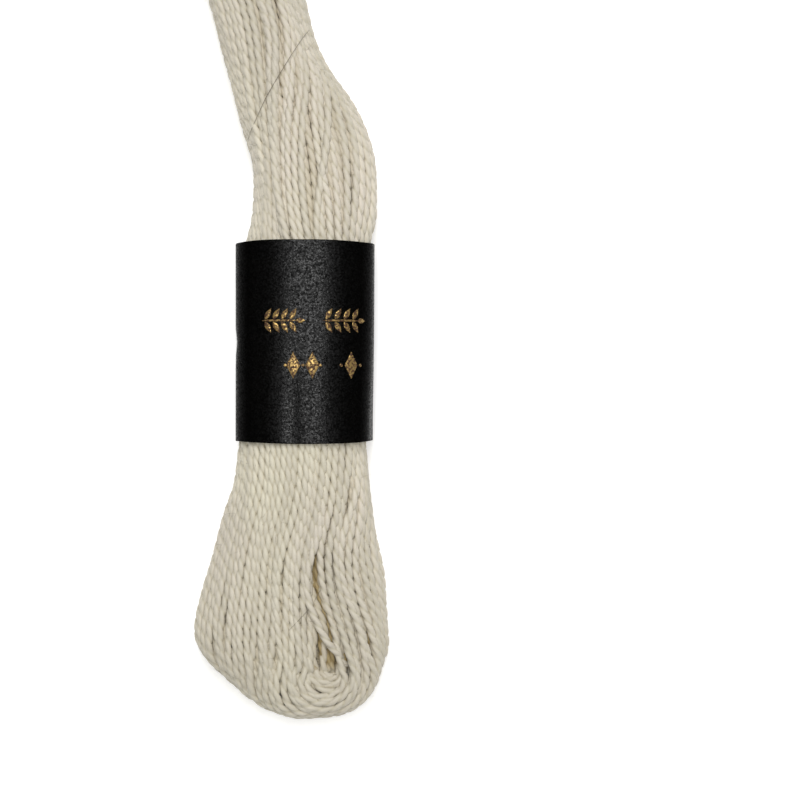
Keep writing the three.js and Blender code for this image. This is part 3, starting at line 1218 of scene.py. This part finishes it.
@dataclass(frozen=True)
class Core:
    """The cotton that lies too deep for its strands to be told apart, as one plain form.

    Attributes:
        envelope: form of the whole hank.
        slit: slit under which the core has its full painted shade, standing for the shade in the loop's eye.
        depth: how far the core lies under the outermost strands.
        sides: points round it.
        stations: rings along it.
        least: least half width and half height.
        plies: plies drawn round it.
        ply_slant: how fast they turn round it, in plies for each ring.
        ply_length: length in the fibres' pattern for each ring.
        eye_width: width of the stretch under the slit with the full painted shade.
        shade_off_slit: share of the painted shade away from the slit.
        tint: its place between the pale and the grey colour.
    """

    envelope: Envelope
    slit: Slit
    depth: float = 1.35
    sides: int = 64
    stations: int = 140
    least: float = 0.4
    plies: int = 40
    ply_slant: float = 0.9
    ply_length: float = 0.5
    eye_width: float = 1.0
    shade_off_slit: float = 0.4
    tint: float = 0.5

    def build(self) -> bpy.types.Object:
        """Makes the form from rounded rectangles, drawn in from the hank's sections on all sides."""
        low, high = self.envelope.y[0] + self.depth, self.envelope.y[-1] - self.depth
        t = (1 - np.cos(np.linspace(0, math.pi, self.stations))) / 2
        y = mixed(low, high, t)[:, None]
        left, right = self.envelope.side(y, -1.0), self.envelope.side(y, 1.0)
        top, bottom = self.envelope.levels(y)
        half_width, half_height = (
            np.maximum(whole / 2 - self.depth, self.least) for whole in (right - left, top - bottom)
        )
        angle = np.arange(self.sides) / self.sides * FULL_TURN
        across, upward = (squared(swing(angle), self.envelope.roundness) for swing in (np.cos, np.sin))
        x, z = (left + right) / 2 + half_width * across, (top + bottom) / 2 + half_height * upward
        surface = tube(np.stack([x, y + 0 * x, z], axis=-1)[::-1])
        row, column = np.divmod(np.arange(len(surface.quads))[:, None], self.sides)
        row, column = row + np.array([0, 0, 1, 1]), column + np.array([0, 1, 1, 0])
        share = column / self.sides * self.plies / 2 + row * self.ply_slant
        surface.uv = np.stack([share, row * self.ply_length], axis=-1).reshape(-1, 2)
        x, y, _ = surface.points.T
        off_slit = (x - self.slit.place(y)) / self.eye_width
        # Painted shade: the core is coloured darker all along for the shade inside the hank, and most under
        # the slit, where the loop's eye lies in shade
        depth_shade = mixed(self.shade_off_slit, 1.0, np.exp(-(off_slit**2))) * DEPTH_SHADE_ALONG.at(y)
        surface.values = {"tint": np.full(len(y), self.tint), "depth_shade": depth_shade}
        return surface.build("core")


@dataclass(frozen=True)
class Dent:
    """A shallow hollow in the sleeve.

    Attributes:
        along: its place round the sleeve, from the middle of the top.
        y: its place along the hank.
        size: how far it reaches round the sleeve and along the hank.
        depth: how deep it is.
    """

    along: float
    y: float
    size: Pair
    depth: float


@dataclass
class Sleeve:
    """A strip of paper round the hank, whose end is glued over its start on the underside.

    Attributes:
        roundness: the rounded rectangle's power, as in |x|ⁿ + |z|ⁿ = 1.
        flat: how much of the section the floor flattens.
        paper: thickness of the paper.
        overlap: length that is glued over.
        seam: place of the overlap's start, from the middle of the underside.
        glue: gap between the layers of the overlap.
        tuck: how far past the overlap the strip starts to come outwards, and in what length it does.
        bevel: how much the cut edges are rounded.
        trim: how far the upper and the lower cut edge lie inside the solid's.
        arch, arch_at: how much further they lie inside at a distance from the middle of the top.
        most_arch: share of that distance past which they don't go further.
        wave_counts: waves round the cut edges.
        wave_size: height of the waves, and the factor on them at the lower edge.
        across: points across the strip.
        stations: points along it.
        measured: points that the solid's outline is measured from.
        kept: points of the outline that are kept, evenly spaced.
        lift: least height over the floor.
        dents: hollows in it.
        finish: its finish.
    """

    roundness: float = 2.7
    flat: float = 0.12
    paper: float = 0.16
    overlap: float = 3.2
    seam: float = 0.4
    glue: float = 0.02
    tuck: Pair = (0.3, 2.5)
    bevel: float = 0.035
    trim: Pair = (0.16, 0.03)
    arch: float = 0.13
    arch_at: float = 5.0
    most_arch: float = 1.1
    wave_counts: tuple[int, ...] = (2, 3, 5, 7)
    wave_size: Pair = (0.035, -0.8)
    across: int = 25
    stations: int = 300
    measured: int = 2001
    kept: int = 721
    lift: float = 0.002
    dents: tuple[Dent, ...] = (
        Dent(-0.75, -6.5, (0.55, 5.0), 0.06),
        Dent(-7.2, -0.2, (1.2, 0.6), 0.16),
        Dent(7.2, -7.5, (2.0, 5.0), 0.26),
        Dent(-7.2, 0.0, (2.0, 20.0), 0.07),
        Dent(7.2, -1.0, (2.0, 8.0), 0.06),
        Dent(3.1, -4.0, (1.1, 4.5), 0.05),
        Dent(-3.3, 4.0, (1.3, 3.5), 0.05),
    )
    finish: PaperFinish = PaperFinish()

    def __post_init__(self) -> None:
        """Measures the solid and the way round it."""
        low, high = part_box("band")
        half_width = (high.x - low.x) / MM / 2
        half_height = ((high.z - low.z) / MM + self.flat) / 2
        self.half_length = (high.y - low.y) / MM / 2
        angle = np.linspace(0, FULL_TURN, self.measured)
        shape = squared(np.stack([np.sin(angle), np.cos(angle)], axis=1), self.roundness)
        shape = shape * (half_width, half_height) + (0.0, half_height - self.flat)
        shape[:, 1] = np.maximum(shape[:, 1], 0.0)
        reached = run_length(shape)
        self.girth = float(reached[-1])
        self.way = np.linspace(0, self.girth, self.kept)
        self.outline = read_off(self.way, reached, shape)
        ahead = unit(np.roll(self.outline[:-1], -1, axis=0) - np.roll(self.outline[:-1], 1, axis=0))
        normal = np.stack([-ahead[:, 1], ahead[:, 0]], axis=1)
        self.normal = np.concatenate([normal, normal[:1]])

    def from_top(self, along: Floats) -> Floats:
        """Way round from the middle of the top, negative to the left and positive to the right."""
        return (along + self.girth / 2) % self.girth - self.girth / 2

    def place(self, along: Floats, y: Floats, depth: Floats) -> Floats:
        """Points in or over the paper. A dent adds its depth·exp(-r²), with r in its own sizes.

        Args:
            along: way round the sleeve from the middle of the top, to the right.
            y: place along the hank.
            depth: how far under the paper's outer face.

        Returns:
            The points, with a last axis of 3.
        """
        way, signed = along % self.girth, self.from_top(along)
        x, z, out_x, out_z = (
            np.interp(way, self.way, values) for values in (*self.outline.T, *self.normal.T)
        )
        for dent in self.dents:
            near = ((signed - dent.along) / dent.size[0]) ** 2 + ((y - dent.y) / dent.size[1]) ** 2
            depth = depth + dent.depth * np.exp(-near)
        return np.stack([x - out_x * depth, y + 0 * x, np.maximum(z - out_z * depth, self.lift)], axis=-1)

    def build(self) -> bpy.types.Object:
        """Makes the paper strip. Its cut edges have the waves sin(nt + n²)/n for each count n."""
        start = self.girth / 2 + self.seam
        along = np.linspace(start, start + self.girth + self.overlap, self.stations)
        tucked = 1 - eased((along - start - self.overlap - self.tuck[0]) / self.tuck[1])
        sunk = (self.paper + self.glue) * tucked
        across = np.sin(np.linspace(math.pi / 2, -math.pi / 2, self.across))
        end = 1 - self.bevel / self.half_length
        upper = np.clip(across, -end, end)
        spread = np.concatenate([[1.0], upper, [-1.0], [-1.0], upper[::-1], [1.0]])
        face = np.concatenate([[self.bevel], 0 * upper, [self.bevel]])
        depth = np.concatenate([face, self.paper - face])
        waves = sum(np.sin(n * along * FULL_TURN / self.girth + n**2) / n for n in self.wave_counts)
        off_top = np.abs(self.from_top(along)) / self.arch_at
        arch = self.arch * np.clip(off_top, 0.0, self.most_arch) ** 2
        trimmed = np.where(spread > 0, *self.trim) + arch[:, None]
        size, lower = self.wave_size
        reach = self.half_length - trimmed + size * waves[:, None] * np.where(spread > 0, 1.0, lower)
        rings = self.place(along[:, None] + 0 * spread, spread * reach, sunk[:, None] + depth)
        piece = tube(rings).build("paper_sleeve")
        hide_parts("band")
        return piece


class Shape(Enum):
    """Outlines of the printed marks, each with the least width that its formula is held to."""

    STEM = 0.15
    LEAF = 0.05
    DOT = 0.01
    DIAMOND = 0.04

    def width(self, t: Floats) -> Floats:
        """Width of the mark from 0 to 1 at a share t of its length.

        A stem tapers in the last eighth at both ends, a leaf is sin(π·t^0.8), a dot is √(1 - (2t - 1)²)
        and a diamond is 1 - |2t - 1|.
        """
        if self is Shape.STEM:
            return np.clip(np.minimum(t, 1 - t) * 8, self.value, 1)
        if self is Shape.LEAF:
            return np.maximum(np.sin(math.pi * t**0.8), self.value)
        if self is Shape.DOT:
            return np.sqrt(np.maximum(1 - (2 * t - 1) ** 2, self.value))
        return np.maximum(1 - np.abs(2 * t - 1), self.value)


# Section of the foil: places in half widths from its middle, and how deep they lie under the paper's face
FOIL_SIDES = np.array([-1.0, -0.93, 0.0, 0.93, 1.0, 1.0, 0.0, -1.0])
FOIL_DEPTH = np.array([0.0, -0.012, -0.012, -0.012, 0.0, 0.02, 0.02, 0.02])


@dataclass(frozen=True)
class Mark:
    """One straight stroke of the foil print.

    Attributes:
        shape: its outline.
        start: where its middle line starts, as a place along the sleeve's girth and y.
        end: where it ends.
        half_width: half its greatest width.
    """

    shape: Shape
    start: Pair
    end: Pair
    half_width: float

    def surface(self, sleeve: Sleeve) -> Surface:
        """The stroke as a thin film on the sleeve."""
        line = mixed(np.array(self.start), np.array(self.end), np.linspace(0, 1, 13)[:, None])
        t = run_length(line) / run_length(line)[-1]
        ahead = unit(np.gradient(line, axis=0))
        right = np.stack([ahead[:, 1], -ahead[:, 0]], axis=1)
        half = self.half_width * self.shape.width(t)
        flat = line[:, None] + right[:, None] * (half[:, None] * FOIL_SIDES)[..., None]
        return tube(sleeve.place(flat[..., 0], flat[..., 1], FOIL_DEPTH + 0 * flat[..., 0]))


@dataclass
class Ornament:
    """Gold print on the sleeve: two sprigs, and under them a row of diamonds.

    Attributes:
        sleeve: the sleeve that it is printed on.
        sprigs: start and end of each sprig.
        sprig_y: the sprigs' place along the hank.
        pairs: pairs of leaves on a sprig.
        last_leaf: length and half width of the leaf at a sprig's end.
        leaf: length along the stem, start and end beside it, and half width of the other leaves.
        leaf_ends: distances of the first and the last pair from the ends of the stem.
        stem: half width of the stem, and how far it reaches under the last leaf.
        diamonds: start, end and number of each group of diamonds.
        diamond_y: the diamonds' place along the hank.
        diamond: half height and half width of a diamond.
        dot: half width of the dots between them.
        finish: its finish.
    """

    sleeve: Sleeve
    sprigs: tuple[Pair, ...] = ((-3.25, 0.2), (1.55, 5.2))
    sprig_y: float = 1.58
    pairs: int = 4
    last_leaf: Pair = (0.75, 0.2)
    leaf: Numbers = (0.5, 0.1, 0.95, 0.21)
    leaf_ends: Pair = (0.25, 0.45)
    stem: Pair = (0.08, 0.1)
    diamonds: tuple[tuple[float, float, int], ...] = ((-1.5, 1.5, 2), (2.9, 4.85, 1))
    diamond_y: float = -1.92
    diamond: Pair = (1.05, 0.56)
    dot: float = 0.13
    finish: FoilFinish = FoilFinish()

    def build(self) -> bpy.types.Object:
        """Makes the print as one piece."""
        groups = [self._sprig(*ends) for ends in self.sprigs]
        groups += [self._diamonds(*row) for row in self.diamonds]
        films = [mark.surface(self.sleeve) for marks in groups for mark in marks]
        return Surface.joined(films).build("foil_print")

    def _sprig(self, start: float, end: float) -> list[Mark]:
        """A straight stem with pairs of leaves that slant forward, and a leaf at its end."""
        y, tip = self.sprig_y, end - self.last_leaf[0]
        stem_width, under_leaf = self.stem
        marks = [Mark(Shape.STEM, (start, y), (tip + under_leaf, y), stem_width)]
        marks.append(Mark(Shape.LEAF, (tip, y), (end, y), self.last_leaf[1]))
        length, low, high, half_width = self.leaf
        for root in np.linspace(start + self.leaf_ends[0], tip - self.leaf_ends[1], self.pairs):
            for side in (-1, 1):
                ends = (root, y + low * side), (root + length, y + high * side)
                marks.append(Mark(Shape.LEAF, *ends, half_width))
        return marks

    def _diamonds(self, start: float, end: float, count: int) -> list[Mark]:
        """Upright diamonds with a dot on each side."""
        y, pace, dot = self.diamond_y, (end - start) / count, self.dot
        half_height, half_width = self.diamond
        marks = []
        for number in range(count):
            middle = start + (number + 0.5) * pace
            low, high = (middle, y - half_height), (middle, y + half_height)
            marks.append(Mark(Shape.DIAMOND, low, high, half_width))
        for number in range(count + 1):
            at = min(max(start + number * pace, start + dot), end - dot)
            marks.append(Mark(Shape.DOT, (at - dot, y), (at + dot, y), dot))
        return marks


@dataclass
class LooseFibres:
    """Fine hairs on the cotton: long ones that lie across it, and short ones that stand out a little.

    Attributes:
        envelope: form that they lie on.
        long_hairs: for each, its corners as x and y, and its radius.
        lie: height of the long hairs over that form in the middle, and how much more at its sides.
        side_power: power by which they rise to the sides.
        short_hairs: number of short hairs.
        stretches: the parts of the hank's length that have them.
        short_length: their least and greatest length.
        short_radius: their radius.
        root_lift: height of their roots over the form.
        points_on: points on a long hair and on a short one.
        curl: how far a short hair bends, as a share of its length.
        rise: how far it rises and bends upwards, over how far it does so across.
        spread: how far it leans along the hank.
        seed: seed of their places.
    """

    envelope: Envelope
    long_hairs: tuple[tuple[tuple[Pair, ...], float], ...] = (
        (((0.48, 24.9), (-1.2, 22.0), (-3.0, 19.0), (-4.5, 16.0)), 0.024),
        (((0.4, -21.2), (-0.25, -21.9), (-1.2, -22.9)), 0.017),
        (((-0.2, -21.5), (-0.22, -22.1), (-0.25, -22.8)), 0.015),
        (((0.82, -20.6), (1.05, -20.1), (1.31, -19.66)), 0.02),
    )
    lie: Pair = (0.42, 0.9)
    side_power: int = 8
    short_hairs: int = 70
    stretches: tuple[Pair, Pair] = ((-29, -8.6), (8.6, 68))
    short_length: Pair = (0.3, 1.1)
    short_radius: float = 0.007
    root_lift: float = 0.15
    points_on: tuple[int, int] = (16, 7)
    curl: float = 0.7
    rise: float = 0.4
    spread: float = 0.5
    seed: int = 21

    def build(self) -> bpy.types.Object:
        """Makes all the hairs as one piece."""
        rng = np.random.default_rng(self.seed)
        surfaces = [self._lying(np.array(corners), radius) for corners, radius in self.long_hairs]
        surfaces += [self._standing(rng) for _ in range(self.short_hairs)]
        return Surface.joined(surfaces).build("loose_fibres")

    def _lying(self, corners: Floats, radius: float) -> Surface:
        """A hair along corners given as x and y, on top of the strands."""
        at = np.linspace(0, len(corners) - 1, self.points_on[0])
        x, y = read_off(at, np.arange(len(corners)), corners).T
        middle, more = self.lie
        lift = middle + more * self.envelope.off_middle(x, y) ** self.side_power
        return self._swept(np.stack([x, y, self.envelope.height(x, y, 1.0) + lift], axis=1), radius)

    def _standing(self, rng: np.random.Generator) -> Surface:
        """A short curled hair on the hank's upper half: it leaves the root outwards and bends as t²."""
        y = rng.choice([rng.uniform(*stretch) for stretch in self.stretches])
        left, right = (float(self.envelope.side(y, sign)) for sign in (-1.0, 1.0))
        x = mixed(left, right, 0.5 - 0.5 * math.cos(math.pi * rng.uniform(0, 1)))
        root = np.array([x, y, float(self.envelope.height(x, y, 1.0)) + self.root_lift])
        t = np.linspace(0, 1, self.points_on[1])[:, None]
        across = 2 * (x - left) / (right - left) - 1
        out = unit(np.array([across, rng.normal(0, self.spread), self.rise]))
        bend = unit(rng.normal(0, 1, 3)) * (1.0, 1.0, self.rise)
        length = rng.uniform(*self.short_length)
        return self._swept(root + length * (out * t + self.curl * bend * t**2), self.short_radius)

    @staticmethod
    def _swept(path: Floats, radius: float) -> Surface:
        """A four-sided tube along a path, thinner to its ends: 0.6 + 0.4·sin(πt) of the radius."""
        along = unit(np.gradient(path, axis=0))
        side = unit(np.cross(along, [0.0, 0.0, 1.0]))
        normal = np.cross(side, along)
        turn = np.arange(4) * math.pi / 2
        thin = radius * (0.6 + 0.4 * np.sin(math.pi * np.linspace(0, 1, len(path))))
        cos, sin = np.cos(turn)[:, None], np.sin(turn)[:, None]
        ring = normal[:, None] * cos + np.cross(along, normal)[:, None] * sin
        return tube(path[:, None] + ring * thin[:, None, None])


@dataclass
class Hank:
    """The wound cotton: closed turns of yarn in layers, the outer ones with their plies and fibres.

    Attributes:
        yarn: the yarn.
        finish: its finish.
        layers: the layers, from the outside.
        inset: how far the middle of the outermost strands lies inside the solid.
        side_y: places along the hank where its sides are moved.
        left_moved: how far the left side is moved there, to the right.
        right_moved: how far the right side is.
        seed: seed of all that is uneven in the turns.
        inner_end: the near loop end of the inner layers.
        inner_slit: their upper slit.
    """

    yarn: Yarn = Yarn()
    finish: CottonFinish = CottonFinish()
    # depth_shade sets each layer's painted shade: none on the outer layer, more on the deeper ones
    layers: tuple[Layer, ...] = (
        Layer(29, 0.0, 0.22, 8, 3, openness=1.0, leaps=11, slit_drop=0.45, depth_shade=0.0),
        Layer(27, 0.3, 0.3, 8, 2, openness=1.0, leaps=3, slit_drop=0.55, drop_reach=4.0, depth_shade=0.2),
        Layer(27, 0.68, 0.5, 6, 1),
    )
    inset: float = 0.2
    side_y: Numbers = (
        -30.0, -28.0, -27.0, -25.4, -23.5, -21.0, -18.0, -15.0, -12.0, -9.5, -8.3, 8.5, 10.0, 15.0, 18.0,
        21.0, 22.0, 23.0, 24.5, 26.0, 28.0,
    )
    left_moved: Numbers = (
        -0.3, -0.3, -0.2, -0.4, -0.3, -0.15, 0.0, 0.15, 0.25, 0.25, 0.0, 0.1, 0.25, 0.25, 0.15,
        0.1, 0.1, 0.1, 0.1, 0.1, 0.0,
    )
    right_moved: Numbers = (
        0.2, 0.2, 0.2, 0.15, 0.1, 0.0, 0.0, 0.0, 0.05, -0.15, -0.35, 0.0, 0.1, 0.1, 0.0,
        -0.1, -0.3, -0.45, -0.4, -0.15, 0.0,
    )
    seed: int = 8
    inner_end: LoopEnd = LoopEnd(-29.98, -26.3, -22.4, -23.6, -24.9, (0.35, 0.3, 0.3))
    inner_slit: Slit = Slit(
        y=(-26.3, -25.5, -24.4, -23.4, -22.8, -22.1, -21.3, -20.5, -18.3, -17.0, -16.1, -13.2, -8.0, 8.0,
           27.0, 42.0, 50.0, 57.0, 64.6),
        x=(2.15, 2.05, 2.0, 2.15, 2.1, 1.65, 1.1, 0.88, 0.74, 0.8, 0.95, 1.85, 2.4, 1.0,
           -1.2, -5.2, -6.3, -6.7, -6.7),
        gap=(0.38, 0.46, 0.36, 0.12, 0.04, -0.15, -0.15, 0.24, 0.3, 0.15, 0.04, 0.0, 0.0, 0.0,
             0.0, 0.0, 0.1, 0.4, 0.4),
    )

    def build(self) -> None:
        """Makes all the turns, layer by layer, and dresses them."""
        rng = np.random.default_rng(self.seed)
        envelope = Envelope.of_node("hank", self.inset)
        envelope = envelope.eased_out(self.side_y, self.left_moved, self.right_moved)
        outer = Winding(envelope)
        inner = Winding(envelope, near=self.inner_end, upper=self.inner_slit)
        cotton = self.finish.material()
        for number, layer in enumerate(self.layers):
            winding = inner if number else outer
            paths, outward = winding.paths(winding.meridians(), layer, rng)
            for part, chosen in enumerate(np.array_split(np.arange(layer.turns), layer.pieces)):
                surface = self.yarn.spin(paths[chosen], outward[chosen], layer, rng)
                piece = surface.build(f"turns_layer{number + 1}_{part + 1}")
                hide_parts("hank")
                dress(piece, cotton)
        core = Core(envelope, self.inner_slit).build()
        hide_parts("hank")
        dress(core, cotton)
        dress(Stray().build(envelope, self.yarn), cotton)
        dress(LooseFibres(envelope).build(), FibreFinish().material())


@dataclass(frozen=True)
class Lamp:
    """A rectangular soft light.

    Attributes:
        name: its name.
        place: where it hangs.
        size: its width and length.
        watts: its power.
        glossy: whether it shows in reflections.
    """

    name: str
    place: Place
    size: Pair
    watts: float
    glossy: bool = True

    def build(self, aim: Place) -> None:
        """Hangs the light so that it faces a place."""
        lamp = bpy.data.lights.new(self.name, "AREA")
        lamp.shape = "RECTANGLE"
        lamp.size, lamp.size_y = self.size[0] * MM, self.size[1] * MM
        lamp.energy = self.watts
        light = linked(self.name, lamp)
        light.location = [value * MM for value in self.place]
        light.rotation_mode = "QUATERNION"
        towards = Vector(np.array(aim) * MM - np.array(light.location))
        light.rotation_quaternion = towards.to_track_quat("-Z", "Y")
        light.visible_glossy = self.glossy


@dataclass
class Studio:
    """Pale floor, soft light from above and a camera that looks straight down.

    Attributes:
        lamps: the lights.
        aim: the place that they face.
        surroundings: strength of the white light from all round.
        view_centre: place under the camera, as x and y.
        view_width: width of the picture at the focus height.
        focus_height: height where that width is measured.
        camera_distance: distance of the camera above it.
        sensor: width of the camera's sensor.
        floor_size: length of the floor's sides.
    """

    lamps: tuple[Lamp, ...] = (
        Lamp("key", (0.0, 100.0, 405.0), (80.0, 320.0), 1.18),
        Lamp("fill", (230.0, 20.0, 310.0), (200.0, 200.0), 0.2, glossy=False),
    )
    aim: Place = (0.0, 5.0, 4.0)
    surroundings: float = 0.32
    view_centre: Pair = (7.6, -4.64)
    view_width: float = 64.0
    focus_height: float = 4.0
    camera_distance: float = 180.0
    sensor: float = 36.0
    floor_size: float = 900.0

    def build(self) -> None:
        """Makes the floor, the lights, the surroundings and the camera."""
        self._floor()
        for lamp in self.lamps:
            lamp.build(self.aim)
        world = bpy.data.worlds.new("surroundings")
        world.use_nodes = True
        background = world.node_tree.nodes["Background"]
        background.inputs["Color"].default_value = (1.0, 1.0, 1.0, 1.0)
        background.inputs["Strength"].default_value = self.surroundings
        bpy.context.scene.world = world
        bpy.context.scene.view_settings.view_transform = "Standard"
        self._camera()

    def _floor(self) -> None:
        """A pale board whose upper face is at height 0."""
        half = self.floor_size / 2
        corners = np.array([(-half, -half, 0.0), (half, -half, 0.0), (half, half, 0.0), (-half, half, 0.0)])
        floor = Surface(corners, np.array([[0, 1, 2, 3]])).build("floor")
        floor.data.materials.append(FloorFinish().material())

    def _camera(self) -> None:
        """A camera over the middle of the view, as far away as the picture's perspective asks."""
        data = bpy.data.cameras.new("camera")
        data.sensor_width = self.sensor
        data.lens = self.sensor * self.camera_distance / self.view_width
        data.clip_start = 0.01
        camera = linked("camera", data)
        height = self.focus_height + self.camera_distance
        camera.location = [value * MM for value in (*self.view_centre, height)]
        bpy.context.scene.camera = camera


def main() -> None:
    """Builds the studio and every part."""
    logging.basicConfig(level=logging.INFO, format="%(name)s: %(message)s")
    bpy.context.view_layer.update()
    Studio().build()
    Hank().build()
    sleeve = Sleeve()
    dress(sleeve.build(), sleeve.finish.material())
    ornament = Ornament(sleeve)
    dress(ornament.build(), ornament.finish.material())


if __name__ == "__main__":
    main()
